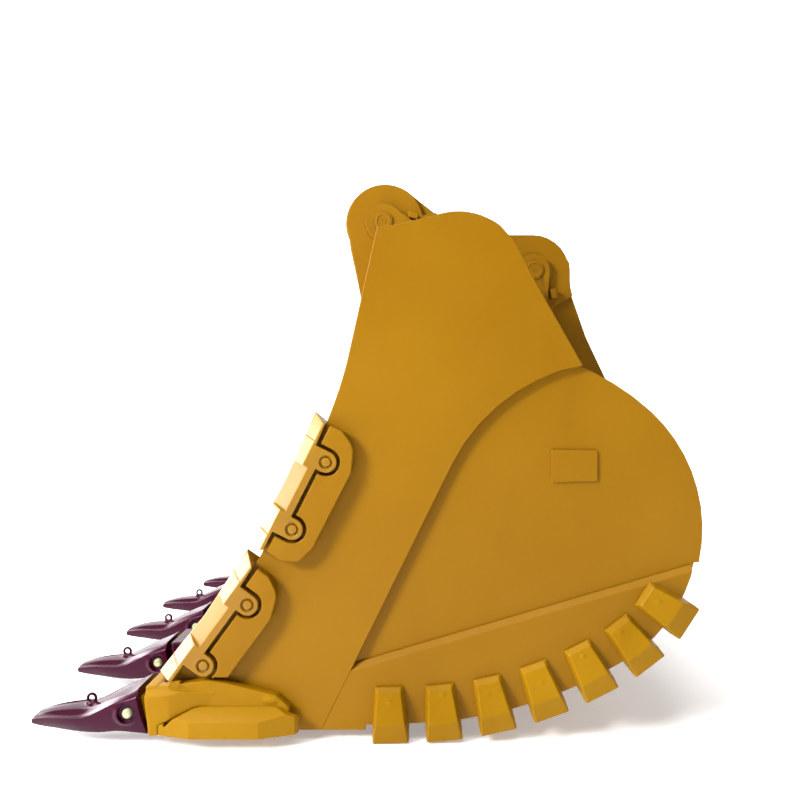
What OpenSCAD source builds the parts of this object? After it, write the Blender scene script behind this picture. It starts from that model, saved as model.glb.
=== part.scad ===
/* [Bucket] */
// Width over the side bars
bucket_w = 1900; // [1700:10:2100]
// Distance between the stick pin and the link pin
pin_pitch = 658; // [640:1:670]
// Angle of the link pin below the stick pin
pin_slope = 17.8; // [16:0.1:19]

/* [Plate] */
// Thickness of the side bars
bar_t = 50; // [40:1:60]
// Thickness of the rear side plates
side_t = 25; // [20:1:30]
// Thickness of the rolled shell
shell_t = 30; // [20:1:40]
// Thickness of the torque box plate
torque_t = 25; // [16:1:30]
// Thickness of the lip
lip_t = 70; // [60:1:80]
// Thickness of the wear plate on the back
back_wear_t = 16; // [10:1:20]

/* [Hinge] */
// Gap between the ears, from boss to boss
ear_gap = 500; // [460:5:520]
// Thickness of an ear
ear_t = 60; // [50:1:70]
// Height of the outer doubler plates
doubler_t = 20; // [12:1:25]
// Height of the inner boss rings
boss_t = 12; // [8:1:20]
// Radius of both hinge pins
pin_r = 60; // [55:1:62]
// Radial clearance of a pin in its bushings
pin_play = 0.06; // [0.02:0.01:0.1]
// Outer radius of the bushings
bushing_r = 80; // [75:1:84]

/* [Teeth] */
// Distance between neighbouring teeth
tooth_pitch = 460; // [450:1:465]
// Distance that the corner teeth stand back
corner_setback = 72; // [60:1:80]
// Length of a tip
tip_len = 391; // [385:1:400]
// Width of a tip at its back
tip_w = 190; // [180:1:200]
// Radius of a tip lock
tip_lock_r = 19; // [16:0.5:20]

/* [Side protection] */
// Distance between the two locks of a side protector
lock_pitch = 246; // [240:1:250]
// Radius of a protector lock
lock_r = 15; // [12:0.5:16]
// Number of heel shrouds on each side
shroud_count = 7; // [5:1:7]
// Distance between neighbouring heel shrouds
shroud_pitch = 176; // [170:1:180]

/* [Hidden] */
$fn = 64;
yellow = "#c8941e";
maroon = "#5c1a33";
steel = "#b8b8a8";

// Frame: origin at the stick pin's centre, +X to the heel, +Y to the far side, +Z up.
// Side outlines are [x, z] or [x, z, corner radius].
link = pin_pitch * [cos(pin_slope), -sin(pin_slope)];
half_w = bucket_w / 2;
inner_w = half_w - bar_t;
side_out = inner_w + side_t;
ear_in = ear_gap / 2;
plate_in = ear_in + boss_t;
plate_out = plate_in + ear_t;
ear_out = plate_out + doubler_t;
// Kept between two tilted or curved faces that meet
touch = 0.02;

// ---- geometry helpers ----
function unit(v) = v / norm(v);
function turned(v) = [-v.y, v.x];
function flat(p) = [p.x, p.y];
function corner(a, b, c, r, n = 7) =
    r <= 0 ? [b] :
    let (u = unit(a - b), v = unit(c - b), half = acos(u * v) / 2,
         m = b + unit(u + v) * r / sin(half),
         s = b + u * r / tan(half) - m, e = b + v * r / tan(half) - m,
         a0 = atan2(s.y, s.x), sweep = (atan2(e.y, e.x) - a0 + 540) % 360 - 180)
    [for (i = [0:n]) m + r * [cos(a0 + sweep * i / n), sin(a0 + sweep * i / n)]];
function rounded(p) = let (n = len(p)) [
    for (i = [0:n - 1])
        each corner(flat(p[(i + n - 1) % n]), flat(p[i]), flat(p[(i + 1) % n]), p[i].z)];
// Counter-clockwise outline moved inwards by d
function inset(p, d) = let (n = len(p)) [
    for (i = [0:n - 1])
        let (a = flat(p[(i + n - 1) % n]), b = flat(p[i]), c = flat(p[(i + 1) % n]),
             na = turned(unit(b - a)), nc = turned(unit(c - b)), way = cross(b - a, c - b),
             q = b + (na + nc) * d / (1 + na * nc))
        [q.x, q.y, p[i].z > 0 ? max(1, p[i].z - (way > 0 ? d : -d)) : 0]];
// Path of straights [length, 0] and left-hand arcs [radius, angle], moved inwards by d
function trace(p, a, segs, d = 0, i = 0) =
    i == len(segs) ? [p] :
    let (s = segs[i])
    s[1] == 0 ? concat([p], trace(p + s[0] * [cos(a), sin(a)], a, segs, d, i + 1)) :
    let (r = s[0] - d, m = p + r * [-sin(a), cos(a)], n = ceil(s[1] / 7))
    concat([for (k = [0:n - 1]) m + r * [sin(a + s[1] * k / n), -cos(a + s[1] * k / n)]],
           trace(m + r * [sin(a + s[1]), -cos(a + s[1])], a + s[1], segs, d, i + 1));
// Place on the same path at distance t: [x, z, heading]
function along(p, a, segs, t, i = 0) =
    let (s = segs[i], turns = s[1] > 0, l = turns ? s[0] * s[1] * PI / 180 : s[0],
         b = turns ? a + min(t, l) / s[0] * 180 / PI : a,
         q = turns ? p + s[0] * [sin(b) - sin(a), cos(a) - cos(b)]
                   : p + min(t, l) * [cos(a), sin(a)])
    t <= l || i == len(segs) - 1 ? [q.x, q.y, b] : along(q, b, segs, t - l, i + 1);

module slab(y0, y1) {
    translate([0, y1, 0])
        rotate([90, 0, 0])
            linear_extrude(y1 - y0)
                children();
}
module rod(r, y0, y1, x = 0, z = 0) {
    translate([x, y1, z])
        rotate([90, 0, 0])
            cylinder(r = r, h = y1 - y0);
}
module block(x0, x1, y0, y1, z0, z1) {
    translate([x0, y0, z0])
        cube([x1 - x0, y1 - y0, z1 - z0]);
}
module far_side() {
    mirror([0, 1, 0])
        children();
}

// ---- side outlines ----
shell_start = [-199.6, -1847];
shell_heading = 1.8;
shell_segs = [[346, 0], [1394, 30.4], [519, 105.2], [794, 22.6], [718, 0]];
shell_normal = [-sin(shell_heading), cos(shell_heading)];
function shell_path(d) = trace(shell_start + d * shell_normal, shell_heading, shell_segs, d);
shell_outer = shell_path(0);
shell_inner = shell_path(shell_t);
wear_step_z = -1298;

// Where the bar's rear edge meets the floor
bar_rear = -177;
bar_outline = rounded([
    [8, -171, 6], [-104, -675, 1300], [-154.4, -812, 100], [-385, -1278, 60],
    [-690, -1698, 0], [-690, -1851, 0], [bar_rear, -1851, 0], [394, -691, 620], [694, -634, 0],
    [530, -345, 300], [468, -222, 60], [412, -160, 120], [304, -108, 220], [70, -166, 150]]);
torque_outline = [
    [-20, -440, 0], [640, -705, 0], [672, -655, 0], [505, -350, 250], [430, -188, 90],
    [298, -136, 170], [72, -190, 120], [26, -194, 10]];
ear_outline = rounded([
    [-169, 20, 150], [-78, -400, 50], [-22, -436, 0], [300, -600, 0], [960, -960, 0],
    [1010, -900, 0], [953, -686, 300], [853, -474, 300], [782, -270, 200], [781, -42, 152],
    [330, -42, 250], [105, 135, 0]]);
ear_end = [4, 5];
seam_top = -1636;
seam_slope = 16.3;

module bar_shape() {
    polygon(bar_outline);
}
module shell_shape() {
    polygon(shell_outer);
}
module box_shape() {
    polygon(rounded(torque_outline));
}

// ---- welded body ----
module lock_pocket(pos, depth, r, tilt, reach) {
    // Round pocket with a channel to the front, for a lock's lug
    translate([pos.x, -half_w + depth, pos.y])
        rotate([90, -tilt, 0]) {
            cylinder(r = r, h = depth + 1);
            translate([0, -r * 0.42, 0])
                cube([reach, r * 0.84, depth + 1]);
        }
}
module side_bar() {
    difference() {
        slab(-half_w, -inner_w)
            bar_shape();
        for (u = [upper_seat, lower_seat], w = [-1, 1])
            lock_pocket(seat_point(u, w * lock_pitch / 2, 0), 20, 33, seat_front(u), 75);
    }
}
module side_bar_near() {
    color(yellow)
        side_bar();
}
module side_bar_far() {
    color(yellow)
        far_side()
            side_bar();
}
module side_plate() {
    slab(-side_out, -inner_w)
        difference() {
            union() {
                shell_shape();
                intersection() {
                    polygon(shell_path(-back_wear_t));
                    translate([0, wear_step_z])
                        square([2000, 2000]);
                }
            }
            bar_shape();
            translate([-900, -1852])
                square([900 + bar_rear, 1700]);
        }
}
module side_plate_near() {
    color(yellow)
        side_plate();
}
module side_plate_far() {
    color(yellow)
        far_side()
            side_plate();
}
module side_wear_plate() {
    // The bottom quarter, with a bevel along its sloping top edge
    difference() {
        slab(-half_w, -side_out)
            difference() {
                union() {
                    polygon(shell_path(8));
                    // Square foot behind the side bar
                    translate([bar_rear, lip_bottom])
                        square([146, 60]);
                }
                bar_shape();
                translate([-900, -1852])
                    square([900 + bar_rear, 1700]);
                translate([-76, seam_top])
                    rotate(seam_slope)
                        translate([-500, 0])
                            square([2500, 2000]);
            }
        translate([-76, -half_w, seam_top])
            rotate([0, -seam_slope, 0])
                translate([-500, 0, -18])
                    rotate([-45, 0, 0])
                        translate([0, -100, 0])
                            cube([2500, 100, 100]);
    }
}
module side_wear_plate_near() {
    color(yellow)
        side_wear_plate();
}
module side_wear_plate_far() {
    color(yellow)
        far_side()
            side_wear_plate();
}
module shell_wall() {
    n = len(shell_inner) - 1;
    polygon(concat(shell_outer, [for (i = [0:n]) shell_inner[n - i]]));
}
module wrapper_shell() {
    color(yellow)
        slab(-inner_w, inner_w)
            difference() {
                shell_wall();
                translate([lip_rear - 300, -1900])
                    square([300, 200]);
            }
}
module torque_plate() {
    color(yellow)
        slab(-inner_w, inner_w)
            difference() {
                box_shape();
                polygon(rounded(inset(torque_outline, torque_t)));
                shell_shape();
            }
}
lip_front = -772;
lip_rear = -33;
lip_bottom = -1851;
lip_half = tooth_pitch + tip_w / 2;
lip_corner = [lip_front + corner_setback, inner_w - 70];
// The middle of the front edge, and the edge that slants back to each corner
lip_slant = lip_corner - [lip_front, lip_half];
lip_turn = atan2(lip_slant.x, lip_slant.y);
bevel_w = 48;
bevel_h = 32;
module lip_bevel(l) {
    // Wedge off the top of a front edge that runs along +Y from the origin
    translate([0, 0, lip_bottom + lip_t])
        rotate([0, -atan2(bevel_h, bevel_w), 0])
            translate([-100, 0, -bevel_h * cos(atan2(bevel_h, bevel_w))])
                cube([200, l, 100]);
}
module lip_plate() {
    color(yellow)
        difference() {
            translate([0, 0, lip_bottom])
                linear_extrude(lip_t)
                    polygon([[lip_rear, -inner_w], [lip_rear, inner_w],
                             [lip_corner.x, inner_w], lip_corner, [lip_front, lip_half],
                             [lip_front, -lip_half], [lip_corner.x, -lip_corner.y],
                             [lip_corner.x, -inner_w]]);
            translate([lip_front, -lip_half - 20, 0])
                lip_bevel(2 * lip_half + 40);
            for (m = [0, 1])
                mirror([0, m, 0])
                    translate([lip_corner.x, -lip_corner.y, 0])
                        rotate(lip_turn)
                            lip_bevel(norm(lip_slant) + 20);
        }
}

// ---- hinge ----
keeper_r = 12;
keeper_reach = 112;
stick_flag = -15;
link_flag = -78;
function keeper_at(pin, a) = pin + keeper_reach * [cos(a), sin(a)];
stick_keeper = keeper_at([0, 0], stick_flag);
link_keeper = keeper_at(link, link_flag);
module ear_bores(y0, y1, r) {
    rod(r, y0, y1);
    rod(r, y0, y1, link.x, link.y);
}
module hinge_plate(keepers) {
    difference() {
        slab(-plate_out, -plate_in)
            difference() {
                union() {
                    polygon(ear_outline);
                    translate(ear_end)
                        circle(r = 166);
                    translate(link)
                        circle(r = 155);
                }
                shell_shape();
                shell_wall();
                box_shape();
                polygon(shell_path(-back_wear_t));
            }
        ear_bores(-plate_out - 1, -plate_in + 1, bushing_r);
        if (keepers)
            for (k = [stick_keeper, link_keeper])
                rod(keeper_r + 0.3, -plate_out - 1, -plate_out + 35, k.x, k.y);
    }
}
module hinge_plate_near() {
    color(yellow)
        hinge_plate(true);
}
module hinge_plate_far() {
    color(yellow)
        far_side()
            hinge_plate(false);
}
module doubler_shape(pin, r, reach, way, wide) {
    // A round end that runs on to a straight cut
    translate(pin) {
        circle(r = r);
        rotate(way)
            translate([0, -r])
                square([reach, r + wide]);
    }
}
module hinge_doubler(keepers) {
    difference() {
        union() {
            slab(-ear_out, -plate_out)
                difference() {
                    intersection() {
                        union() {
                            doubler_shape(ear_end, 160, 335, -79, 330);
                            doubler_shape(link, 149, 173, -58, 149);
                        }
                        union() {
                            polygon(ear_outline);
                            translate(ear_end)
                                circle(r = 160);
                            translate(link)
                                circle(r = 149);
                        }
                    }
                    shell_shape();
                    box_shape();
                    polygon(shell_path(-back_wear_t));
                }
            ear_bosses(-plate_in, -ear_in);
        }
        ear_bores(-ear_out - 1, -ear_in + 1, bushing_r);
        if (keepers)
            for (k = [stick_keeper, link_keeper])
                rod(keeper_r + 0.3, -ear_out - 1, -plate_out + 1, k.x, k.y);
    }
}
module ear_bosses(y0, y1) {
    for (p = [[0, 0], link])
        rod(130, y0, y1, p.x, p.y);
}
module hinge_doubler_near() {
    color(yellow)
        hinge_doubler(true);
}
module hinge_doubler_far() {
    color(yellow)
        far_side()
            hinge_doubler(false);
}
module pin_bushings() {
    color(steel)
        for (p = [[0, 0], link], m = [0, 1])
            mirror([0, m, 0])
                difference() {
                    rod(bushing_r - 0.02, -ear_out, -ear_in, p.x, p.y);
                    rod(pin_r + pin_play, -ear_out - 1, -ear_in + 1, p.x, p.y);
                }
}
flag_t = 30;
flag_in = -ear_out - 2;
module flag_stop(pin, a) {
    translate([pin.x, 0, pin.y])
        rotate([0, -a, 0])
            block(92, 132, -ear_out - 38, -ear_out, 47, 69);
}
module flag_stops() {
    color(yellow) {
        flag_stop([0, 0], stick_flag);
        flag_stop(link, link_flag);
    }
}

// ---- lip castings ----
joint_x = -745 - corner_setback;
tooth_z = -1771;
lip_top = lip_bottom + lip_t - tooth_z;
function tooth_y(i) = (i - 3) * tooth_pitch;
function tooth_x(i) = i == 1 || i == 5 ? joint_x + corner_setback : joint_x;
module wedge(grow) {
    // Nose of an adapter, and the socket of a tip
    intersection() {
        slab(-tip_w, tip_w)
            polygon([[20, 50 + grow], [-30, 46 + grow], [-118, 20 + grow], [-178, -10 + grow],
                     [-186 - grow, -14], [-186 - grow, -28], [-178, -34 - grow],
                     [20, -34 - grow]]);
        translate([0, 0, -100])
            linear_extrude(300)
                polygon([[20, -62 - grow], [20, 62 + grow], [-80, 62 + grow],
                         [-186 - grow, 42 + grow], [-186 - grow, -42 - grow],
                         [-80, -62 - grow]]);
    }
}
module nose() {
    difference() {
        wedge(0);
        translate([-56, -62 + 26, 0])
            rotate([90, 180, 0]) {
                cylinder(r = 29, h = 40);
                translate([0, -12, 0])
                    cube([300, 24, 40]);
            }
    }
}
module centre_adapter(i) {
    translate([tooth_x(i), tooth_y(i), tooth_z]) {
        nose();
        slab(-90, 90)
            polygon(rounded([
                [-4, 78, 0], [14, -72, 0], [24, -110, 14], [250, -110, 10], [275, -92, 0],
                [275, -80.2, 0], [40, -80.2, 0], [40, 30, 0], [56, 30, 0],
                [116, lip_top + 0.2, 0], [345, lip_top + 0.2, 0], [345, 10, 0],
                [250, 56, 60], [90, 84, 60]]));
    }
}
module corner_adapter(i) {
    translate([tooth_x(i), tooth_y(i), tooth_z]) {
        nose();
        // Front body, ahead of the lip and the side bar
        slab(-92, 91.5)
            polygon(rounded([[14, -72, 0], [44.5, -72, 0], [44.5, 76, 0], [30, 82, 10],
                             [-4, 80, 0]]));
        // Outer cheek, which runs back over the wear block's sloping end and fades out
        intersection() {
            slab(-92, -half_w - 38 - tooth_y(1))
                polygon([[44, -38], [164, 17.2], [205, 17.2], [205, 60], [44, 76]]);
            translate([0, 0, -80])
                linear_extrude(160)
                    polygon([[44, -92], [80, -92], [205, -69], [205, -60], [44, -60]]);
        }
        // Inner strap, on the lip's top
        slab(22, 91.5)
            polygon(rounded([[44.4, lip_top + 0.2, 0], [330, lip_top + 0.2, 0], [330, 12, 0],
                             [250, 54, 60], [44.4, 76, 0]]));
    }
    // Outer leg, on the side bar
    slab(-half_w - 38, -half_w)
        polygon(rounded([
            [-731, -1843, 0], [-290, -1843, 0], [-276, -1762, 20], [-320, -1722, 30],
            [-483, -1681, 60], [-548, -1671, 60], [-640, -1684, 20], [-700, -1690, 10],
            [-748, -1706, 0]]));
}
module adapter_1() {
    color(yellow)
        corner_adapter(1);
}
module adapter_2() {
    color(maroon)
        centre_adapter(2);
}
module adapter_3() {
    color(maroon)
        centre_adapter(3);
}
module adapter_4() {
    color(maroon)
        centre_adapter(4);
}
module adapter_5() {
    color(yellow)
        far_side()
            corner_adapter(1);
}
module corner_wear_block() {
    // Long faceted block: flat outer face, sloping top, chamfered ends
    intersection() {
        slab(-half_w - 100, -half_w - 38)
            polygon([[-699.7, -1841], [-699.7, -1809.6], [-581, -1755], [-322, -1755],
                     [-246, -1786], [-246, -1841]]);
        translate([0, 0, -1841])
            linear_extrude(120)
                polygon([[-699.7, -half_w - 38], [-699.7, -half_w - 62], [-590, -half_w - 92],
                         [-368, -half_w - 92], [-256, -half_w - 58], [-246, -half_w - 38]]);
        translate([-700, 0, 0])
            rotate([90, 0, 90])
                linear_extrude(500)
                    polygon([[-half_w - 38, -1842], [-half_w - 92, -1842],
                             [-half_w - 92, -1786], [-half_w - 38, -1754]]);
    }
}
module corner_wear_block_near() {
    color(yellow)
        corner_wear_block();
}
module corner_wear_block_far() {
    color(yellow)
        far_side()
            corner_wear_block();
}
module lip_shroud(turn, w) {
    rotate(turn)
        slab(-w / 2, w / 2)
            polygon(rounded([
                [-46, -24, 14], [-20, -76, 20], [110, -76, 8], [120, -68, 0], [120, -60.5, 0],
                [-0.5, -60.5, 0], [-0.5, lip_t - bevel_h - 59.5, 0],
                [bevel_w - 0.5, lip_t - 59.5, 0],
                [190, lip_t - 59.5, 0], [190, 24, 0], [130, 46, 40], [40, 52, 40],
                [-40, 8, 20]]));
}
module lip_shrouds() {
    color(yellow)
        for (m = [0, 1])
            mirror([0, m, 0]) {
                translate([lip_front, -tooth_pitch / 2, lip_bottom + 60])
                    lip_shroud(0, 230);
                translate([lip_front + lip_slant.x / 2, -lip_half - lip_slant.y / 2,
                           lip_bottom + 60])
                    lip_shroud(lip_turn, 176);
            }
}

// ---- side protection ----
// A seat is [middle x, middle z, slope of the edge]; s runs down the edge, n into the plate
upper_seat = [-212, -1065, 63.3];
lower_seat = [-486, -1522, 54];
base_t = 42;
base_floor = -1661;
cheek_t = 46;
function seat_front(u) = 90 + u.z;
function seat_down(u) = -[cos(u.z), sin(u.z)];
function seat_in(u) = [sin(u.z), -cos(u.z)];
function seat_point(u, s, n) = flat(u) + s * seat_down(u) + n * seat_in(u);
module at_seat(u) {
    // Children are drawn with x down the edge, y into the plate
    multmatrix([[seat_down(u).x, seat_in(u).x, 0, u.x], [seat_down(u).y, seat_in(u).y, 0, u.y],
                [0, 0, 1, 0], [0, 0, 0, 1]])
        children();
}
module protector_base(u, level) {
    // Wear plate behind a protector, with round notches for the two bosses
    slab(-half_w - base_t, -half_w)
        difference() {
            at_seat(u)
                difference() {
                    polygon(rounded([[-236, -54, 0], [-237, 4, 30], [-206, 60, 60],
                                     [-128, 90, 60], [150, 88, 60], [212, 66, 24],
                                     [231, 14, 24], [225, -47, 0]]));
                    translate([-300, -200])
                        square([600, 200 - 42]);
                    translate([-169, -200])
                        square([338, 200 - 9]);
                    for (w = [-1, 1])
                        translate([w * lock_pitch / 2, 0])
                            circle(r = 46);
                    if (level)
                        translate([lock_pitch / 2, -200])
                            square([200, 208]);
                }
            // The lower one is cut off level above the corner casting
            if (level)
                translate([-1200, base_floor - 1000])
                    square([1200, 1000]);
        }
}
module side_protector(u) {
    // Casting that straddles the bar's front edge: wedge nose, two cheeks, two lock bosses
    e = 0.6;
    difference() {
        union() {
            slab(-half_w - cheek_t, -inner_w + cheek_t)
                at_seat(u)
                    polygon([[-252, -112], [0, -98], [250, -110], [226, -54], [158, -54],
                             [158, -21], [-158, -21], [-158, -54], [-232, -58]]);
            for (w = [-1, 1])
                slab(-half_w - cheek_t, -half_w - e)
                    at_seat(u)
                        translate([w * lock_pitch / 2, 0]) {
                            circle(r = 35);
                            translate([-35, -60])
                                square([70, 60]);
                        }
        }
        // Slot for the side bar
        slab(-half_w - e, -inner_w + e)
            at_seat(u)
                translate([-400, -62.5])
                    square([800, 200]);
        // Wedge faces
        for (m = [0, 1])
            translate([0, -half_w + bar_t / 2, 0])
                mirror([0, m, 0])
                    translate([u.x, 0, u.y])
                        rotate([0, 90 - u.z, 0])
                            for (part = [[-300, -80, -64], [-80, 80, -44], [80, 300, -64]])
                                translate([0, 0, -part[1]])
                                    linear_extrude(part[1] - part[0])
                                        polygon([[-150, -12], [-108, -12],
                                                 [part[2], -bar_t / 2 - cheek_t],
                                                 [part[2], -120], [-150, -120]]);
        for (w = [-1, 1]) {
            c = seat_point(u, w * lock_pitch / 2, 0);
            rod(lock_r + 0.3, -half_w - cheek_t - 1, -half_w, c.x, c.y);
            rod(22, -half_w - cheek_t - 1, -half_w - cheek_t + 8, c.x, c.y);
        }
    }
}
module protector_lock(u, w) {
    // Round body with a square drive, and a lug that lies across the bar's pocket
    c = seat_point(u, w * lock_pitch / 2, 0);
    color(steel)
        translate([c.x, -half_w, c.y])
            rotate([90, 0, 0])
                difference() {
                    union() {
                        translate([0, 0, -1])
                            cylinder(r = lock_r, h = cheek_t - 1);
                        rotate(u.z)
                            intersection() {
                                translate([-40, -11, -17])
                                    cube([80, 22, 17]);
                                translate([0, 0, -18])
                                    cylinder(r = 31, h = 30);
                            }
                    }
                    translate([-7, -7, cheek_t - 12])
                        cube([14, 14, 20]);
                }
}
module protector_base_near_upper() {
    color(yellow)
        protector_base(upper_seat, false);
}
module protector_base_near_lower() {
    color(yellow)
        protector_base(lower_seat, true);
}
module protector_base_far_upper() {
    color(yellow)
        far_side()
            protector_base(upper_seat, false);
}
module protector_base_far_lower() {
    color(yellow)
        far_side()
            protector_base(lower_seat, true);
}
module side_protector_near_upper() {
    color(yellow)
        side_protector(upper_seat);
}
module side_protector_near_lower() {
    color(yellow)
        side_protector(lower_seat);
}
module side_protector_far_upper() {
    color(yellow)
        far_side()
            side_protector(upper_seat);
}
module side_protector_far_lower() {
    color(yellow)
        far_side()
            side_protector(lower_seat);
}
function lock_seat(k) = k < 3 ? upper_seat : lower_seat;
function lock_end(k) = k % 2 == 1 ? -1 : 1;
module protector_lock_near(k) {
    protector_lock(lock_seat(k), lock_end(k));
}
module protector_lock_far(k) {
    far_side()
        protector_lock(lock_seat(k), lock_end(k));
}

// ---- heel shrouds and wear straps ----
ground = -1883;
module heel_shroud(sole) {
    // Drawn with x along the shell, z into the bucket, at the near corner
    intersection() {
        slab(-half_w - 60, -half_w + 100)
            polygon([[-61, -sole], [61, -sole], [59, 22], [48, 135], [-48, 135], [-59, 22]]);
        translate([-100, 0, 0])
            rotate([90, 0, 90])
                linear_extrude(200)
                    polygon([[-half_w + 95, -sole], [-half_w - 34, -sole], [-half_w - 50, 22],
                             [-half_w - 26, 122], [-half_w - 6, 135],
                             [-half_w - touch, 135], [-half_w - touch, -1],
                             [-half_w + 95, -1]]);
    }
}
module heel_shrouds() {
    // The first two are cut level, and the bucket stands on them
    difference() {
        for (i = [0:shroud_count - 1]) {
            p = along(shell_start, shell_heading, shell_segs, 253 + i * shroud_pitch);
            translate([p.x, 0, p.y])
                rotate([0, -p.z, 0])
                    heel_shroud(i < 2 ? 62 : 42);
        }
        block(-100, 400, -half_w - 100, -half_w + 100, ground - 100, ground);
    }
}
module heel_shrouds_near() {
    color(yellow)
        heel_shrouds();
}
module heel_shrouds_far() {
    color(yellow)
        far_side()
            heel_shrouds();
}
module back_wear_plate() {
    color(yellow)
        slab(-inner_w, inner_w)
            difference() {
                intersection() {
                    polygon(shell_path(-back_wear_t));
                    translate([700, wear_step_z])
                        square([800, 800]);
                    polygon([[1200, -700], [700, -760], [700, -1400], [1200, -1400]]);
                }
                shell_shape();
                box_shape();
            }
}
module floor_wear_straps() {
    color(yellow)
        for (y = [-600, -200, 200, 600])
            slab(y - 60, y + 60)
                difference() {
                    intersection() {
                        polygon(shell_path(-25));
                        translate([lip_rear + 0.3, -2000])
                            square([1400, 680]);
                    }
                    shell_shape();
                }
}
module badge_plates() {
    color(yellow)
        for (m = [0, 1])
            mirror([0, m, 0])
                slab(-side_out - 8, -side_out)
                    polygon(rounded([[593, -1027, 8], [748, -1024, 8], [748, -920, 8],
                                     [593, -917, 8]]));
}

// ---- teeth ----
module tip_body() {
    intersection() {
        slab(-tip_w, tip_w)
            polygon(rounded([
                [5, -72, 0], [-62, -54, 60], [-100, -52, 60], [-165, -64, 60],
                [-215, -60, 60], [6 - tip_len, -48, 0], [-tip_len, -44, 0],
                [1 - tip_len, -36, 0], [-338, -23, 40], [-222, -14, 60],
                [-150, 27, 60], [-84, 59, 60], [-18, 80, 0]]));
        translate([0, 0, -100])
            linear_extrude(300)
                polygon(rounded(let (b = tip_w / 2) [
                    [9, -b, 0], [9, b, 0], [-95, b, 60], [-175, 80, 60], [-310, 74, 60],
                    [-tip_len, 48, 0], [-tip_len, -48, 0], [-310, -74, 60],
                    [-175, -80, 60], [-95, -b, 60]]));
        translate([-tip_len - 10, 0, 0])
            rotate([90, 0, 90])
                linear_extrude(tip_len + 30)
                    polygon(let (b = tip_w / 2) [
                        [-b, -46], [-b, 28], [-64, 81], [64, 81], [b, 28], [b, -46],
                        [b - 18, -73], [18 - b, -73]]);
    }
}
module tip_casting(i) {
    color(maroon)
        translate([tooth_x(i), tooth_y(i), tooth_z])
            difference() {
                union() {
                    tip_body();
                    rod(40, -tip_w / 2 - 6, -tip_w / 2 + 10, -56, 0);
                    rod(18, -8, 8, -211, 18);
                    block(-226, -196, -8, 8, -20, 18);
                }
                wedge(1);
                rod(9, -20, 20, -211, 20);
                rod(tip_lock_r + 0.3, -tip_w, 0, -56, 0);
                rod(27, -tip_w, -tip_w / 2 + 6, -56, 0);
            }
}
module tip_lock_casting(i) {
    // Round body with a square drive, and a lug that stands across the nose's channel
    color(steel)
        translate([tooth_x(i) - 56, tooth_y(i), tooth_z])
            rotate([90, 0, 0])
                difference() {
                    union() {
                        translate([0, 0, 60])
                            cylinder(r = tip_lock_r, h = tip_w / 2 - 60);
                        intersection() {
                            translate([-11, -40, 42])
                                cube([22, 80, 20.4]);
                            translate([0, 0, 40])
                                cylinder(r = 27, h = 24);
                        }
                    }
                    translate([-8, -8, tip_w / 2 - 14])
                        cube([16, 16, 20]);
                }
}

// The last tooth is the mirror image of the first
module tip(i) {
    if (i < 5)
        tip_casting(i);
    else
        far_side()
            tip_casting(1);
}
module tip_lock(i) {
    if (i < 5)
        tip_lock_casting(i);
    else
        far_side()
            tip_lock_casting(1);
}

// ---- flag pins ----
module flag_pin(pin, a, flag_r) {
    // Journal between the ears, set off by two relief grooves, and a flag on the near end
    relief = 1;
    color(steel)
        translate([pin.x, 0, pin.y])
            difference() {
                union() {
                    rod(pin_r, flag_in - 1, ear_out + 18);
                    rotate([0, -a, 0])
                        hull() {
                            rod(flag_r, flag_in - flag_t, flag_in);
                            rod(34, flag_in - flag_t, flag_in, keeper_reach, 0);
                        }
                    rod(38, flag_in - flag_t - 6, flag_in);
                }
                for (m = [0, 1])
                    mirror([0, m, 0])
                        difference() {
                            rod(pin_r + 1, ear_in - 1, ear_in + 1);
                            rod(pin_r - relief, ear_in - 2, ear_in + 2);
                        }
                rotate([0, -a, 0])
                    rod(keeper_r + 1, flag_in - flag_t - 1, flag_in + 1, keeper_reach, 0);
            }
}
module keeper_bolt(k) {
    head_h = 15;
    color(steel)
        translate([k.x, 0, k.y]) {
            rod(keeper_r, flag_in - flag_t - touch, -plate_out + 30);
            translate([0, flag_in - flag_t - touch, 0])
                rotate([90, 0, 0])
                    cylinder(r = 20.8, h = head_h, $fn = 6);
        }
}
module stick_pin() {
    flag_pin([0, 0], stick_flag, 75);
}
module link_pin() {
    flag_pin(link, link_flag, 64);
}
module stick_keeper_bolt() {
    keeper_bolt(stick_keeper);
}
module link_keeper_bolt() {
    keeper_bolt(link_keeper);
}

side_bar_near();
side_bar_far();
side_plate_near();
side_plate_far();
side_wear_plate_near();
side_wear_plate_far();
wrapper_shell();
torque_plate();
lip_plate();
hinge_plate_near();
hinge_plate_far();
hinge_doubler_near();
hinge_doubler_far();
pin_bushings();
flag_stops();
adapter_1();
adapter_2();
adapter_3();
adapter_4();
adapter_5();
corner_wear_block_near();
corner_wear_block_far();
lip_shrouds();
protector_base_near_upper();
protector_base_near_lower();
protector_base_far_upper();
protector_base_far_lower();
side_protector_near_upper();
side_protector_near_lower();
side_protector_far_upper();
side_protector_far_lower();
for (k = [1:4]) {
    protector_lock_near(k);
    protector_lock_far(k);
}
heel_shrouds_near();
heel_shrouds_far();
back_wear_plate();
floor_wear_straps();
badge_plates();
for (i = [1:5]) {
    tip(i);
    tip_lock(i);
}
stick_pin();
link_pin();
stick_keeper_bolt();
link_keeper_bolt();
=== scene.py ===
import math
import bmesh
import bpy
from mathutils import Matrix, Vector


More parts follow.
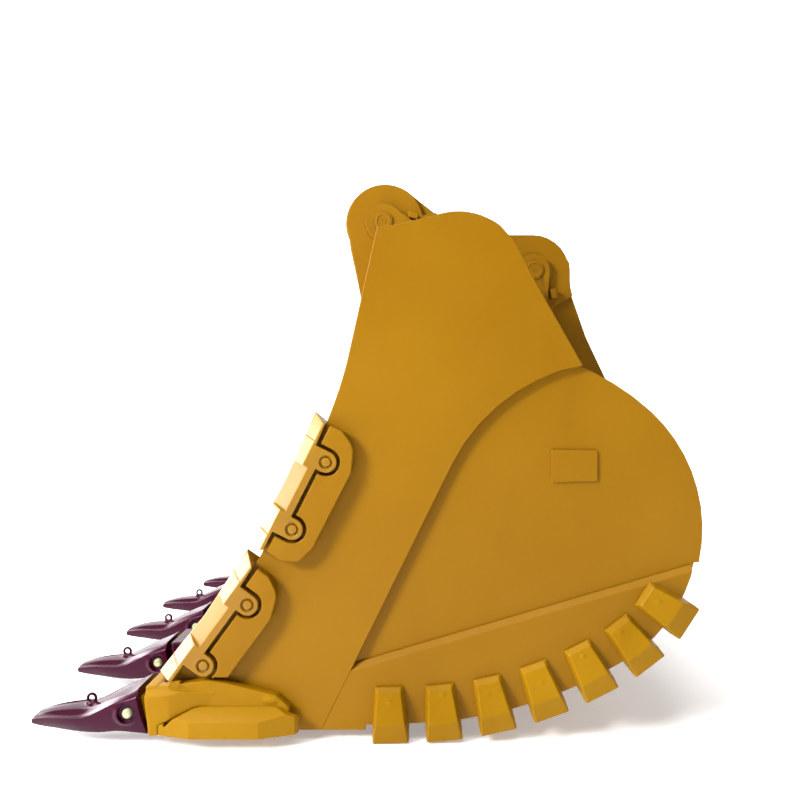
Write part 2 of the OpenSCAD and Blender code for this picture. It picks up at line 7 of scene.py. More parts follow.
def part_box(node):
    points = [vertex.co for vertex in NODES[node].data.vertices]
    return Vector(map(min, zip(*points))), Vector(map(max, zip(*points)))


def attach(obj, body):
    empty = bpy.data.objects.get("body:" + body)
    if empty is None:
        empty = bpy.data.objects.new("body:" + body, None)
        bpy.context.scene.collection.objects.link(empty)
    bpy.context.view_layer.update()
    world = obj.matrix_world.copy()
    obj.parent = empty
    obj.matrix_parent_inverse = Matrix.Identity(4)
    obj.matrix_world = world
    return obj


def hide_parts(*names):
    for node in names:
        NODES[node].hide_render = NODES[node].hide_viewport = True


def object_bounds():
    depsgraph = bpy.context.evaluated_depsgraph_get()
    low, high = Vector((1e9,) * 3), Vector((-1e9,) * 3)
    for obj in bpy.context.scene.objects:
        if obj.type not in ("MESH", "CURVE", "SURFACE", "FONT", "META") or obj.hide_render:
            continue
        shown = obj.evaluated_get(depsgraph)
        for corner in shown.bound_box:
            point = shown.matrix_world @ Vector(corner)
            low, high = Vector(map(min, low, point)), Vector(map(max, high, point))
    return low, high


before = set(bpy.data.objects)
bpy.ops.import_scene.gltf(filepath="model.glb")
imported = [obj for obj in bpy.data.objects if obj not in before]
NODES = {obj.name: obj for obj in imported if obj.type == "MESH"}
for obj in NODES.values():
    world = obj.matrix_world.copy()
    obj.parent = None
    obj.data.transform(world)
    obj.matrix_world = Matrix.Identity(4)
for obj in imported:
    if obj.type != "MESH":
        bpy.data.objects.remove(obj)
CAD_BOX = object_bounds()
MM = 0.001
ROOT = "bucket"

# ---------------------------------------------------------------- sizes shared with the CAD, mm
HALF_W, BAR_T = 950, 50
TOOTH_Z, TOOTH_PITCH, JOINT_X, SETBACK = -1771, 460, -817, 72
LOCK_PITCH = 246
# Middle of each side protector's seat (x, z) and its slope in degrees
UPPER_SEAT, LOWER_SEAT = (-212, -1065, 63.3), (-486, -1522, 54)
# The link pin seen from the stick pin
PIN_SPAN, PIN_DROP = 658, math.radians(17.8)
LINK = (PIN_SPAN * math.cos(PIN_DROP), -PIN_SPAN * math.sin(PIN_DROP))
SHROUDS, FIRST_SHROUD, SHROUD_PITCH = 7, 253, 176
FLOOR_Z = CAD_BOX[0].z

# The camera stands level, where the photo's did
CAMERA_AT, LENS, SHIFT = (151.3, -3283, -791), 31.5, (-0.025, 0.015)


def tooth(i):
    """Centre of the joint between tip and adapter. The outer two teeth are set back."""
    x = JOINT_X + (SETBACK if i in (1, 5) else 0)
    return Vector((x, (i - 3) * TOOTH_PITCH, TOOTH_Z)) * MM


# ---------------------------------------------------------------- materials
class Tree:
    """A material's node tree with short calls for the nodes used here."""

    def __init__(self, name):
        self.mat = bpy.data.materials.new(name)
        self.mat.use_nodes = True
        self.nt = self.mat.node_tree
        self.bsdf = next(n for n in self.nt.nodes if n.type == "BSDF_PRINCIPLED")
        self.place = self.add("ShaderNodeTexCoord").outputs["Object"]

    def add(self, kind, **sockets):
        n = self.nt.nodes.new(kind)
        for key, value in sockets.items():
            self.put(n, key.replace("_", " "), value)
        return n

    def put(self, n, key, value):
        s = n.inputs[key]
        if isinstance(value, bpy.types.NodeSocket):
            self.nt.links.new(value, s)
        else:
            s.default_value = value

    def noise(self, scale, detail=3.0, rough=0.5, stretch=None):
        n = self.add("ShaderNodeTexNoise", Scale=scale, Detail=detail, Roughness=rough)
        if stretch:
            m = self.add("ShaderNodeMapping", Scale=stretch, Vector=self.place)
            self.put(n, "Vector", m.outputs["Vector"])
        else:
            self.put(n, "Vector", self.place)
        return n.outputs["Fac"]

    def ramp(self, value, lo, hi, a=0.0, b=1.0):
        n = self.add("ShaderNodeMapRange", Value=value)
        n.clamp = True
        for key, v in (("From Min", lo), ("From Max", hi), ("To Min", a), ("To Max", b)):
            n.inputs[key].default_value = v
        return n.outputs["Result"]

    def mix(self, fac, a, b, blend="MIX"):
        n = self.nt.nodes.new("ShaderNodeMix")
        n.data_type, n.blend_type = "RGBA", blend
        for i, v in ((0, fac), (6, a), (7, b)):
            if isinstance(v, bpy.types.NodeSocket):
                self.nt.links.new(v, n.inputs[i])
            else:
                n.inputs[i].default_value = v
        return n.outputs[2]

    def math(self, op, a, b=0.0):
        n = self.nt.nodes.new("ShaderNodeMath")
        n.operation = op
        for i, v in ((0, a), (1, b)):
            if isinstance(v, bpy.types.NodeSocket):
                self.nt.links.new(v, n.inputs[i])
            else:
                n.inputs[i].default_value = v
        return n.outputs[0]

    def edges(self, lo, hi):
        g = self.nt.nodes.new("ShaderNodeNewGeometry")
        return self.ramp(g.outputs["Pointiness"], lo, hi)

    def bump(self, *layers):
        """Layers of (height socket, strength, distance in metres), finest last."""
        normal = None
        for height, strength, distance in layers:
            n = self.add("ShaderNodeBump", Strength=strength, Distance=distance, Height=height)
            if normal:
                self.put(n, "Normal", normal)
            normal = n.outputs["Normal"]
        self.put(self.bsdf, "Normal", normal)

    def set(self, **sockets):
        for key, value in sockets.items():
            self.put(self.bsdf, key.replace("_", " "), value)
        return self.mat


def rgb(r, g, b):
    return (r, g, b, 1.0)


WHITE = (1, 1, 1)


def paint(name, base, light, dark, rough, gloss, coat, grain, grain_depth, tint=WHITE):
    """Sprayed enamel: broad tone drift, thin light edges that are partly thinner paint and partly
    a painted highlight, painted shade in concave corners, orange peel.
    """
    t = Tree(name)
    drift = t.ramp(t.noise(1.7, 2.0), 0.35, 0.65)
    c = t.mix(t.math("MULTIPLY", drift, 0.55), base, light)
    streak = t.ramp(t.noise(5.0, 4.0, 0.6, (1.0, 1.0, 0.35)), 0.52, 0.75)
    c = t.mix(t.math("MULTIPLY", streak, 0.22), c, dark)
    speck = t.ramp(t.noise(140.0, 2.0), 0.62, 0.72)
    c = t.mix(t.math("MULTIPLY", speck, 0.10), c, dark)
    # Painted highlight: convex edges are lightened, partly for thinner paint there and partly to
    # stand for light catching the edges.
    edge = t.edges(0.515, 0.56)
    c = t.mix(t.math("MULTIPLY", edge, 0.35), c, light)
    # Painted shade: concave corners and creases are darkened where shade falls.
    hollow_shade = t.edges(0.485, 0.44)
    c = t.mix(t.math("MULTIPLY", hollow_shade, 0.35), c, dark)
    r = t.ramp(t.noise(9.0, 4.0), 0.3, 0.7, rough - 0.06, rough + 0.07)
    t.bump((t.noise(6.0, 2.0), 0.12, 0.004), (t.noise(grain, 3.0), 0.35, grain_depth))
    return t.set(Base_Color=c, Roughness=r, Specular_IOR_Level=gloss, Specular_Tint=rgb(*tint),
                 Coat_Weight=coat, Coat_Roughness=0.10, Coat_Tint=rgb(*tint))


YELLOW = paint("yellow_enamel", rgb(0.238, 0.106, 0.001), rgb(0.29, 0.136, 0.003),
               rgb(0.15, 0.058, 0.001), 0.44, 0.10, 0.02, 420.0, 0.00018)
CAST = paint("yellow_casting", rgb(0.238, 0.108, 0.001), rgb(0.37, 0.19, 0.006),
             rgb(0.12, 0.042, 0.001), 0.34, 0.24, 0.08, 150.0, 0.0007)
HEAVY = paint("yellow_heavy_casting", rgb(0.262, 0.124, 0.001), rgb(0.37, 0.19, 0.005),
              rgb(0.12, 0.042, 0.001), 0.42, 0.10, 0.03, 150.0, 0.0008, (1.0, 0.88, 0.62))
MAROON = paint("maroon_casting", rgb(0.026, 0.0006, 0.006), rgb(0.050, 0.001, 0.014),
               rgb(0.008, 0.0004, 0.002), 0.23, 0.17, 0.04, 90.0, 0.0006, (0.95, 0.66, 1.0))
PAINT_FROM = 0.335  # metres from the middle of a pin to where its paint begins


def pin_finish():
    """Ground steel between the ears, painted over on the flag and the pin's ends."""
    t = Tree("pin_steel_and_paint")
    y = t.math("ABSOLUTE", t.add("ShaderNodeSeparateXYZ", Vector=t.place).outputs["Y"])
    painted = t.ramp(y, PAINT_FROM, PAINT_FROM + 0.002)
    drift = t.ramp(t.noise(6.0, 3.0), 0.35, 0.65)
    enamel = t.mix(drift, rgb(0.245, 0.110, 0.001), rgb(0.29, 0.136, 0.002))
    ground = t.mix(drift, rgb(0.42, 0.40, 0.37), rgb(0.30, 0.28, 0.26))
    # Painted shade: the ring grooves and other concave creases on the painted pin ends are
    # darkened.
    hollow_shade = t.edges(0.485, 0.43)
    c = t.mix(painted, ground, t.mix(t.math("MULTIPLY", hollow_shade, 0.6), enamel,
                                     rgb(0.08, 0.03, 0.001)))
    metallic = t.math("SUBTRACT", 1.0, painted)
    t.bump((t.noise(60.0, 3.0), 0.2, 0.0004))
    return t.set(Base_Color=c, Metallic=metallic, Roughness=t.ramp(painted, 0.0, 1.0, 0.3, 0.42),
                 Specular_IOR_Level=0.15)


PIN = pin_finish()


def plug():
    """Pale plug over a tip lock's drive, a little chalky."""
    t = Tree("lock_plug")
    c = t.mix(t.ramp(t.noise(120.0, 4.0), 0.3, 0.7), rgb(0.28, 0.28, 0.11), rgb(0.50, 0.50, 0.28))
    # Painted shade: the plug's concave creases are darkened nearly to black.
    c = t.mix(t.math("MULTIPLY", t.edges(0.49, 0.42), 0.8), c, rgb(0.05, 0.03, 0.02))
    t.bump((t.noise(260.0, 3.0), 0.4, 0.0006))
    return t.set(Base_Color=c, Roughness=0.34, Coat_Weight=0.4, Coat_Roughness=0.15)


PLUG = plug()


# ---------------------------------------------------------------- mesh helpers
def to_object(bm, name, mat, smooth_angle=None):
    me = bpy.data.meshes.new(name)
    bmesh.ops.recalc_face_normals(bm, faces=bm.faces[:])
    bm.to_mesh(me)
    bm.free()
    return dress(me, name, mat, smooth_angle)


def dress(me, name, mat, smooth_angle=None):
    me.materials.clear()
    me.materials.append(mat)
    for p in me.polygons:
        p.use_smooth = True
        p.material_index = 0
    if smooth_angle:
        me.set_sharp_from_angle(angle=math.radians(smooth_angle))
    o = bpy.data.objects.new(name, me)
    bpy.context.scene.collection.objects.link(o)
    return o


def settle(o, nodes=(), body=ROOT):
    """Puts a piece on the body it rides on and hides the nodes it stands for."""
    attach(o, body)
    if nodes:
        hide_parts(*nodes)
    return o


def cad_mesh(node):
    bm = bmesh.new()
    bm.from_mesh(NODES[node].data)
    bmesh.ops.remove_doubles(bm, verts=bm.verts[:], dist=0.003 * MM)
    return bm


def plate(node, width, mat=YELLOW, body=ROOT, segments=2):
    """A copy of a CAD node with its flame-cut edges eased, in place of the node."""
    bm = cad_mesh(node)
    bmesh.ops.dissolve_limit(bm, angle_limit=math.radians(0.5), use_dissolve_boundaries=False,
                             verts=bm.verts[:], edges=bm.edges[:])
    sharp = [e for e in bm.edges if len(e.link_faces) == 2 and e.is_convex
             and e.calc_face_angle(0.0) > math.radians(30)]
    bmesh.ops.bevel(bm, geom=sharp, offset=width * MM, offset_type="OFFSET", segments=segments,
                    profile=0.6, affect="EDGES", clamp_overlap=False, loop_slide=True)
    o = to_object(bm, node + "_eased", mat, 42)
    o.modifiers.new("normals", "WEIGHTED_NORMAL").keep_sharp = True
    return settle(o, [node], body)


def ring_loft(bm, rings):
    """Closed solid through rings of points, with both ends capped."""
    loops = [[bm.verts.new(p) for p in ring] for ring in rings]
    n = len(loops[0])
    for a, b in zip(loops, loops[1:]):
        for i in range(n):
            bm.faces.new((a[i], a[(i + 1) % n], b[(i + 1) % n], b[i]))
    bm.faces.new(list(reversed(loops[0])))
    bm.faces.new(loops[-1])


def disc(r, sides, squash=1.0):
    """Points of a circle, or of an ellipse when squashed."""
    return [(r * math.cos(2 * math.pi * i / sides), r * squash * math.sin(2 * math.pi * i / sides))
            for i in range(sides)]


def rod_y(bm, x, z, r, y0, y1, sides=48, squash=1.0):
    """Round bar along Y, in mm."""
    ring_loft(bm, [[Vector((x + a, y, z + b)) * MM for a, b in disc(r, sides, squash)]
                   for y in (y0, y1)])


def turned_y(bm, x, z, profile, sides=48):
    """Solid of revolution about Y from [radius, y] pairs, in mm."""
    ring_loft(bm, [[Vector((x + a, y, z + b)) * MM for a, b in disc(r, sides)]
                   for r, y in profile])


def ball(bm, centre, radii, rows=20, sides=40):
    """Ellipsoid, in mm."""
    c, (rx, ry, rz) = Vector(centre), radii
    rings = []
    for k in range(1, rows):
        a = math.pi * k / rows
        rings.append([(c + Vector((rx * math.sin(a) * math.cos(b), ry * math.cos(a),
                                   rz * math.sin(a) * math.sin(b)))) * MM
                      for b in (2 * math.pi * i / sides for i in range(sides))])
    ring_loft(bm, rings)


def slab_y(bm, outline, y0, y1):
    """Flat piece with an outline of (x, z) points between two Y planes, in mm."""
    ring_loft(bm, [[Vector((x, y, z)) * MM for x, z in outline] for y in (y0, y1)])


def torus_xz(bm, centre, big, small, sides=36, ribs=12):
    """Ring that lies in the X-Z plane, in mm."""
    c = Vector(centre)
    loops = []
    for i in range(sides):
        a = 2 * math.pi * i / sides
        d = Vector((math.cos(a), 0, math.sin(a)))
        loops.append([bm.verts.new((c + d * (big + small * math.cos(b))
                                    + Vector((0, small * math.sin(b), 0))) * MM)
                      for b in (2 * math.pi * j / ribs for j in range(ribs))])
    for i in range(sides):
        a, b = loops[i], loops[(i + 1) % sides]
        for j in range(ribs):
            bm.faces.new((a[j], a[(j + 1) % ribs], b[(j + 1) % ribs], b[j]))


def cast(name, bm, mat, voxel, rounds, box, cuts=None):
    """Fuses overlapping solids, less the cuts, into one skin with soft edges, as a casting has.
    The skin stays in the box, which is the CAD node's."""
    src = to_object(bm, name + "_src", mat)
    other = None
    if cuts:
        other = to_object(cuts, name + "_cut", mat)
        m = src.modifiers.new("cut", "BOOLEAN")
        m.operation, m.object, m.solver, m.use_self = "DIFFERENCE", other, "EXACT", True
    m = src.modifiers.new("skin", "REMESH")
    m.mode, m.voxel_size, m.adaptivity = "VOXEL", voxel * MM, 0.0
    m = src.modifiers.new("soften", "SMOOTH")
    m.factor, m.iterations = 0.5, rounds
    dg = bpy.context.evaluated_depsgraph_get()
    me = bpy.data.meshes.new_from_object(src.evaluated_get(dg))
    for o in (src, other):
        if o:
            bpy.data.meshes.remove(o.data)
    lo, hi = box
    for v in me.vertices:
        v.co = Vector(min(max(c, a), b) for c, a, b in zip(v.co, lo, hi))
    me.name = name
    return me


def mirrored(me):
    """A copy of a mesh for the other side of the bucket."""
    me = me.copy()
    me.transform(Matrix.Scale(-1, 4, (0, 1, 0)))
    me.flip_normals()
    return me


def show(me, name, mat, nodes, body=ROOT, place=None, flip=False):
    """Puts a mesh in the scene, moved by place or mirrored to the far side."""
    if flip:
        me = mirrored(me)
    o = dress(me, name, mat) if not me.users else bpy.data.objects.new(name, me)
    if not o.users_collection:
        bpy.context.scene.collection.objects.link(o)
    if place is not None:
        o.location = place
    return settle(o, nodes, body)


# ---------------------------------------------------------------- plates and pins
for n in ("side_bar_near", "side_bar_far"):
    plate(n, 3.0)
for n in ("side_plate_near", "side_plate_far", "side_wear_plate_near", "side_wear_plate_far",
          "wrapper_shell", "torque_plate", "lip_plate", "hinge_plate_near", "hinge_plate_far",
          "hinge_doubler_near", "hinge_doubler_far", "back_wear_plate", "floor_wear_straps",
          "flag_stops", "badge_plates"):
    plate(n, 2.0)
for side in ("near", "far"):
    for row in ("upper", "lower"):
        plate(f"protector_base_{side}_{row}", 5.0, segments=3)
plate("pin_bushings", 1.0, PIN)
for n, (x, z) in (("stick", (0, 0)), ("link", LINK)):
    plate(n + "_pin", 1.5, PIN, n + "_pin_set")
    plate(n + "_keeper_bolt", 1.0, YELLOW, n + "_pin_set")
    # A turned ring and the centre mark on the pin's end
    bm = bmesh.new()
    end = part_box(n + "_pin")[0].y / MM
    for big, small in ((29, 2.6), (7, 2.2)):
        torus_xz(bm, (x, end, z), big, small, 48)
    settle(to_object(bm, n + "_pin_rings", PIN), (), n + "_pin_set")


# ---------------------------------------------------------------- tips
# Each section is its x, which is 0 at the joint and falls towards the point, and its half
# outline from the middle of the top round to the middle of the underside, as (width, z).
TIP_SECTIONS = [
    (6, [(0, 77), (64, 77), (80, 67), (93, 53), (95, 0), (78, -73), (0, -73)]),
    (-55, [(0, 62), (64, 60), (80, 53), (94, 43), (95, -4), (77, -67), (0, -67)]),
    (-90, [(0, 50), (62, 47), (78, 41), (91, 34), (94, -10), (75, -64), (0, -64)]),
    (-125, [(0, 37), (58, 33), (74, 25), (88, 19), (90, -18), (73, -68), (0, -68)]),
    (-158, [(0, 22), (53, 16), (70, 6), (86, 3), (86, -28), (70, -72), (0, -72)]),
    (-185, [(0, 9), (47, 4), (66, -11), (83, -11), (83, -36), (66, -73), (0, -73)]),
    (-215, [(0, -2), (40, -5), (61, -22), (81, -17), (80, -42), (63, -72), (0, -72)]),
    (-250, [(0, -7), (32, -9), (55, -27), (78, -18), (77, -42), (60, -69), (0, -69)]),
    (-290, [(0, -11), (26, -13), (49, -28), (73, -20), (71, -41), (56, -65), (0, -65)]),
    (-330, [(0, -16), (22, -18), (43, -29), (64, -23), (62, -40), (51, -62), (0, -62)]),
    (-365, [(0, -23), (20, -25), (37, -31), (55, -29), (53, -42), (47, -58), (0, -58)]),
    (-390, [(0, -31), (18, -31), (33, -33), (48, -36), (48, -44), (44, -53), (0, -53)]),
]


LOCK_X = -56                    # axis of a tip lock, from the joint
RECESS_FLOOR, RECESS_R = -82, 28.5
EYE = (-211, 0, 16)             # lifting eye


def joint_edge(z):
    """Where the slanted rear end of a tip lies at height z, as an x from the joint."""
    pts = [(-72, 6), (-18, -11), (22, -19), (49, -24), (80, -24)]
    for (z0, x0), (z1, x1) in zip(pts, pts[1:]):
        if z <= z1:
            return x0 + (x1 - x0) * max(0.0, z - z0) / (z1 - z0)
    return pts[-1][1]


def tip_mesh():
    bm = bmesh.new()
    rings = []
    for k, (x, half) in enumerate(TIP_SECTIONS):
        ring = half + [(-w, z) for w, z in reversed(half[1:-1])]
        rings.append([Vector((joint_edge(z) if k == 0 else x, w, z)) * MM for w, z in ring])
    ring_loft(bm, rings)
    bmesh.ops.recalc_face_normals(bm, faces=bm.faces[:])
    # Subdivide the cage so that the sections flow into each other, with three firm edge lines
    # a side: the top's edge, the wing's edge and the underside's edge
    cage = to_object(bm, "tip_cage", MAROON)
    crease = cage.data.attributes.new("crease_edge", "FLOAT", "EDGE")
    n = len(rings[0])
    firm = {1: 0.75, 3: 0.85, 5: 0.7, n - 1: 0.75, n - 3: 0.85, n - 5: 0.7}
    for e in cage.data.edges:
        a, b = e.vertices
        same_ring = a // n == b // n
        value = firm.get(a % n, 0.0) if not same_ring and a % n == b % n else 0.0
        if same_ring and a // n in (0, len(rings) - 1):
            value = 1.0
        crease.data[e.index].value = value
    cage.modifiers.new("flow", "SUBSURF").levels = 2
    dg = bpy.context.evaluated_depsgraph_get()
    me = bpy.data.meshes.new_from_object(cage.evaluated_get(dg))
    bpy.data.meshes.remove(cage.data)
    bm = bmesh.new()
    bm.from_mesh(me)
    # Swelling round the lock, then the lifting eye and its foot
    for s in (-1, 1):
        ball(bm, (-60, s * 77, 0), (50, 25.5, 44))
    torus_xz(bm, EYE, 13.5, 5.0)
    ball(bm, (EYE[0], 0, -2), (22, 11, 9))
    cuts = bmesh.new()
    rod_y(cuts, LOCK_X - 1, 1, RECESS_R, -130, RECESS_FLOOR, 48, 1.1)
    lo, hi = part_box("tip_3")
    c = tooth(3)
    return cast("tip_casting", bm, MAROON, 2.2, 3, (lo - c, hi - c), cuts)


tip = tip_mesh()
for i in range(1, 6):
    show(tip, f"tip_{i}_casting", MAROON, [f"tip_{i}"], place=tooth(i),
         flip=i == 5)


def lock_mesh():
    """Lock body with a domed plug over its drive, and the lug behind."""
    bm = bmesh.new()
    turned_y(bm, LOCK_X, 0, [(18.6, -60), (18.6, -77), (16.2, -80), (15.6, -90), (13, -93.6),
                             (8, -95), (2, -95)])
    lug = [(-10.5, -24), (10.5, -24), (10.5, 24), (-10.5, 24)]
    slab_y(bm, [(LOCK_X + a, b) for a, b in lug], -62, -42)
    return to_object(bm, "lock_src", PLUG, 40)


lock = lock_mesh()
for i in range(1, 6):
    me = mirrored(lock.data) if i == 5 else lock.data
    o = bpy.data.objects.new(f"tip_lock_{i}_plug", me)
    bpy.context.scene.collection.objects.link(o)
    o.location = tooth(i)
    settle(o, [f"tip_lock_{i}"], f"tip_lock_{i}")
bpy.data.objects.remove(lock)


# ---------------------------------------------------------------- castings
# The wrapper's outside: each run is a length with no turn, or a radius and a turn in degrees
SHELL_START, SHELL_HEADING = (-199.6, -1847), 1.8
SHELL_RUNS = [(346, 0), (1394, 30.4), (519, 105.2), (794, 22.6), (718, 0)]


def along(t):
    """Place (x, z) in mm and heading in degrees at distance t along the shell's outside."""
    (x, z), a = SHELL_START, SHELL_HEADING
    for r, turn in SHELL_RUNS:
        length = math.radians(turn) * r if turn else r
        u = min(t, length)
        if turn:
            b = a + math.degrees(u / r)
            x += r * (math.sin(math.radians(b)) - math.sin(math.radians(a)))
            z += r * (math.cos(math.radians(a)) - math.cos(math.radians(b)))
            a = b
        else:
            x += u * math.cos(math.radians(a))
            z += u * math.sin(math.radians(a))
        t -= length
        if t <= 0:
            break
    return x, z, a


# The three inner adapters are the same casting
c = tooth(2)
lo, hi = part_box("adapter_2")
bm = cad_mesh("adapter_2")
bmesh.ops.translate(bm, verts=bm.verts[:], vec=-c)
adapter = cast("centre_adapter", bm, MAROON, 3.5, 6, (lo - c, hi - c))
for i in (2, 3, 4):
    n = f"adapter_{i}"
    show(adapter, n + "_casting", MAROON, [n], place=tooth(i))


def pair(near, far, me, mat=HEAVY):
    show(me, near + "_casting", mat, [near])
    show(me, far + "_casting", mat, [far], flip=True)


# Corner adapter: the front block's top steps back to the leg over a ledge that rises rearwards
LEDGE_ENDS = ((-780, -2), (-560, 18))   # x, and how much higher the ledge is there
cuts = bmesh.new()
ring_loft(cuts, [[Vector((x, y, z)) * MM for y, z in
                  ((-1024, -1726 + rise), (-990, -1704 + rise), (-990, -1600), (-1024, -1600))]
                 for x, rise in LEDGE_ENDS])
bm = cad_mesh("adapter_1")
# A small tab by the ledge, and three lumps on the leg
slab_y(bm, [(-676, -1690), (-640, -1694), (-632, -1668), (-664, -1660)], -1002, -984)
ball(bm, (-340, -988, -1737), (26, 6, 13))
ball(bm, (-600, -988, -1708), (7, 3, 7))
ball(bm, (-530, -988, -1712), (8, 3, 5))
me = cast("adapter_1_cast", bm, HEAVY, 3.0, 9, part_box("adapter_1"), cuts)
pair("adapter_1", "adapter_5", me)

# Wear block: sloping top, long outer face, slot at its front end
bm = cad_mesh("corner_wear_block_near")
cuts = bmesh.new()
slab_y(cuts, [(-684, -1806), (-676, -1812), (-655, -1790), (-661, -1783)], -1060, -996)
me = cast("wear_block_cast", bm, HEAVY, 2.0, 5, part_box("corner_wear_block_near"), cuts)
pair("corner_wear_block_near", "corner_wear_block_far", me)

# Heel shrouds: flanks and top slope away from a proud outer face. Each level is its height
# above the shell's outside, half lengths at the root and at the face, and the face's y from
# the side.
SHROUD_LEVELS = [(-42, 61, 56, -34), (-10, 61, 54, -41), (22, 59, 49, -50),
                 (75, 54, 43.5, -38), (120, 49, 38, -27), (135, 47, 38, -9)]
SHROUD_SOLE = (-42, -1)         # from outside the shell to its surface
SHROUD_FOOT = (60, -30, 95)     # the sole's half length, and its y from the side
LUMP = (13, 4.6, 9)


def shroud_point(spot, u, y, w):
    """Point u along, y across from the near side and w above the shell at a spot on it."""
    x, z, heading = spot
    a = math.radians(heading)
    return Vector((x + u * math.cos(a) - w * math.sin(a), y - HALF_W,
                   z + u * math.sin(a) + w * math.cos(a)))


def shroud(bm, i):
    spot = along(FIRST_SHROUD + SHROUD_PITCH * i)
    ring_loft(bm, [[shroud_point(spot, u, y, w) * MM for u, y in
                    ((-root, 0), (root, 0), (root, -7), (face, out), (-face, out), (-root, -7))]
                   for w, root, face, out in SHROUD_LEVELS])
    half, outer, inner = SHROUD_FOOT
    ring_loft(bm, [[shroud_point(spot, u, y, w) * MM for u, y in
                    ((-half, outer), (half, outer), (half, inner), (-half, inner))]
                   for w in SHROUD_SOLE])
    # A casting lump on the outer face, at a slightly different place on each
    u, rise = 9 * math.sin(i * 2.3), 16 * math.sin(i * 1.7)
    ball(bm, shroud_point(spot, u, -31.5 + rise * 0.24, 92 + rise), LUMP, 12, 20)


bm = bmesh.new()
for i in range(SHROUDS):
    shroud(bm, i)
me = cast("heel_shrouds_cast", bm, HEAVY, 2.5, 5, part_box("heel_shrouds_near"))
pair("heel_shrouds_near", "heel_shrouds_far", me)
me = cast("lip_shrouds_cast", cad_mesh("lip_shrouds"), HEAVY, 4.0, 5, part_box("lip_shrouds"))
show(me, "lip_shrouds_casting", HEAVY, ["lip_shrouds"])


# ---------------------------------------------------------------- side protection
# Grooves across the wedge faces, between the cast sections: places along the protector, and
# the cutter's outline on one wedge face as (n, y from the bar's middle plane)
GROOVES, GROOVE_WIDTH = (-171, -75, 80, 173), 4.0
GROOVE_CUTTER = ((-117.6, -9.2), (-64.0, -81.0), (-56.8, -75.5), (-110.4, -3.7))
BAR_MIDDLE = -HALF_W + BAR_T / 2


def seat(u, s, n):
    """Point (x, z) at s down the side bar's front edge and n behind it, from a seat's middle."""
    a = math.radians(u[2])
    return (u[0] - s * math.cos(a) + n * math.sin(a), u[1] - s * math.sin(a) - n * math.cos(a))


def groove(bm, u, s, sign):
    rings = []
    for end in (s - GROOVE_WIDTH / 2, s + GROOVE_WIDTH / 2):
        ring = []
        for n, y in GROOVE_CUTTER:
            x, z = seat(u, end, n)
            ring.append(Vector((x, BAR_MIDDLE + sign * y, z)) * MM)
        rings.append(ring)
    ring_loft(bm, rings)


for row, u in (("upper", UPPER_SEAT), ("lower", LOWER_SEAT)):
    near, far = f"side_protector_near_{row}", f"side_protector_far_{row}"
    cuts = bmesh.new()
    for s in GROOVES:
        for sign in (-1, 1):
            groove(cuts, u, s, sign)
    me = cast(near + "_cast", cad_mesh(near), CAST, 2.0, 3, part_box(near), cuts)
    pair(near, far, me, CAST)

for k in range(1, 5):
    u = UPPER_SEAT if k < 3 else LOWER_SEAT
    cx, cz = seat(u, (-1 if k % 2 else 1) * LOCK_PITCH / 2, 0)
    bm = bmesh.new()
    turned_y(bm, cx, cz, [(15, -HALF_W + 1), (15, -HALF_W - 41), (13.8, -HALF_W - 44.2),
                          (11, -HALF_W - 45), (0.6, -HALF_W - 45)], 40)
    turn = math.radians(u[2])
    slab_y(bm, [(cx + a * math.cos(turn) - b * math.sin(turn),
                 cz + a * math.sin(turn) + b * math.cos(turn))
                for a, b in ((-28, -11), (28, -11), (28, 11), (-28, 11))],
           -HALF_W, -HALF_W + 17)
    near = to_object(bm, f"protector_lock_near_{k}_disc", CAST, 40)
    far = bpy.data.objects.new(f"protector_lock_far_{k}_disc", mirrored(near.data))
    bpy.context.scene.collection.objects.link(far)
    settle(near, [f"protector_lock_near_{k}"], f"protector_lock_near_{k}")
    settle(far, [f"protector_lock_far_{k}"], f"protector_lock_far_{k}")


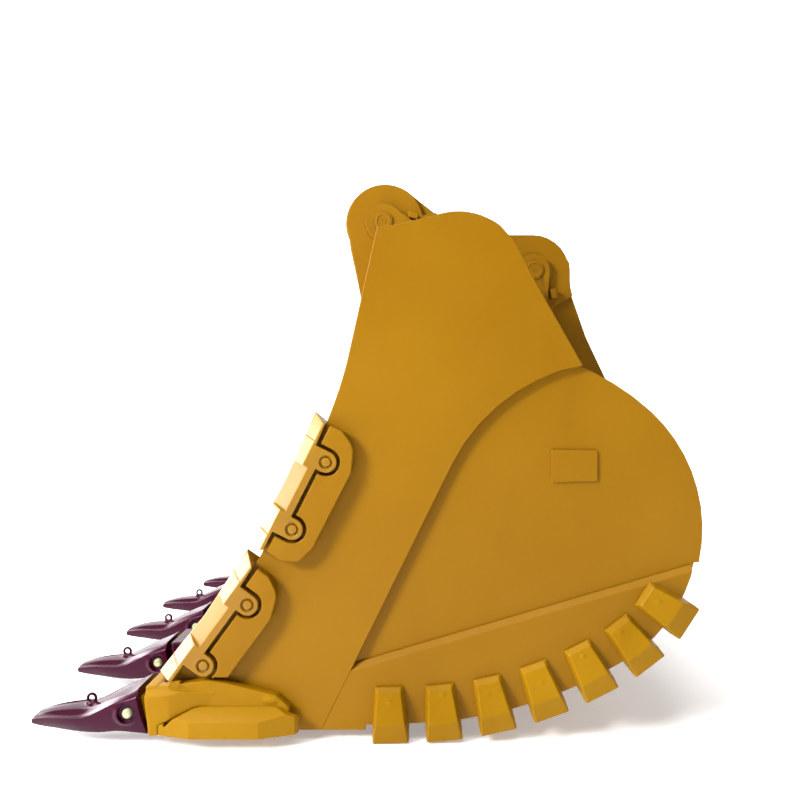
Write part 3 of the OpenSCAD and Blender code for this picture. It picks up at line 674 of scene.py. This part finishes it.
# ---------------------------------------------------------------- floor, light, camera
def sweep():
    """Studio sweep: a floor that curves up into a wall well behind the bucket, in metres."""
    bm = bmesh.new()
    wall, radius, top, front, half = 14.0, 4.0, 16.0, -30.0, 60.0
    path = [(front, 0.0), (wall - radius, 0.0)]
    path += [(wall - radius + radius * math.sin(a), radius - radius * math.cos(a))
             for a in (math.pi / 2 * k / 16 for k in range(1, 17))]
    path.append((wall, top))
    rows = [[bm.verts.new((x, y, z)) for y, z in path] for x in (-half, half)]
    for i in range(len(path) - 1):
        bm.faces.new((rows[0][i], rows[1][i], rows[1][i + 1], rows[0][i + 1]))
    t = Tree("pale_sweep")
    t.bump((t.noise(40.0, 4.0), 0.05, 0.001))
    depth = t.add("ShaderNodeSeparateXYZ", Vector=t.place).outputs["Y"]
    # Painted light: the sweep glows, from 0.30 near the bucket to 0.90 far back, so it reads white
    # and its shadows are washed out.
    glow = t.ramp(depth, 1.0, 8.0, 0.30, 0.90)
    mat = t.set(Base_Color=t.mix(t.ramp(t.noise(0.8, 3.0), 0.3, 0.7), rgb(0.88, 0.88, 0.88),
                                 rgb(0.91, 0.91, 0.91)),
                Roughness=0.8, Specular_IOR_Level=0.2,
                Emission_Color=rgb(*WHITE), Emission_Strength=glow)
    o = to_object(bm, "studio_sweep", mat)
    for p in o.data.polygons:
        p.flip()
    o.location.z = FLOOR_Z - 0.0005


sweep()

world = bpy.data.worlds.new("studio")
world.use_nodes = True
bg = world.node_tree.nodes["Background"]
bg.inputs["Color"].default_value = (0.97, 0.98, 1.0, 1.0)
bg.inputs["Strength"].default_value = 0.24
bpy.context.scene.world = world


def lamp(name, kind, place, aim, energy):
    light = bpy.data.lights.new(name, kind)
    light.energy = energy
    o = bpy.data.objects.new(name, light)
    o.location = place
    o.rotation_euler = (Vector(aim) - Vector(place)).to_track_quat("-Z", "Y").to_euler()
    bpy.context.scene.collection.objects.link(o)
    return light


key = lamp("key", "AREA", (-4.7, -4.5, 2.0), (0.1, -0.3, -1.0), 660)
key.shape, key.size, key.size_y = "RECTANGLE", 1.8, 1.8
side = lamp("side", "AREA", (-5.0, 0.7, -0.4), (-0.4, -0.9, -1.2), 440)
side.shape, side.size, side.size_y = "RECTANGLE", 3.8, 2.6
top = lamp("top", "SUN", (-2.4, -1.2, 8.0), (0, 0, -1), 2.3)
top.angle = math.radians(40)

cam = bpy.data.cameras.new("camera")
cam.lens, cam.sensor_width = LENS, 36.0
cam.shift_x, cam.shift_y = SHIFT
cam.clip_start, cam.clip_end = 0.05, 200
camera = bpy.data.objects.new("camera", cam)
camera.location = Vector(CAMERA_AT) * MM
camera.rotation_euler = (math.pi / 2, 0, 0)
bpy.context.scene.collection.objects.link(camera)
bpy.context.scene.camera = camera
bpy.context.scene.view_settings.view_transform = "Standard"
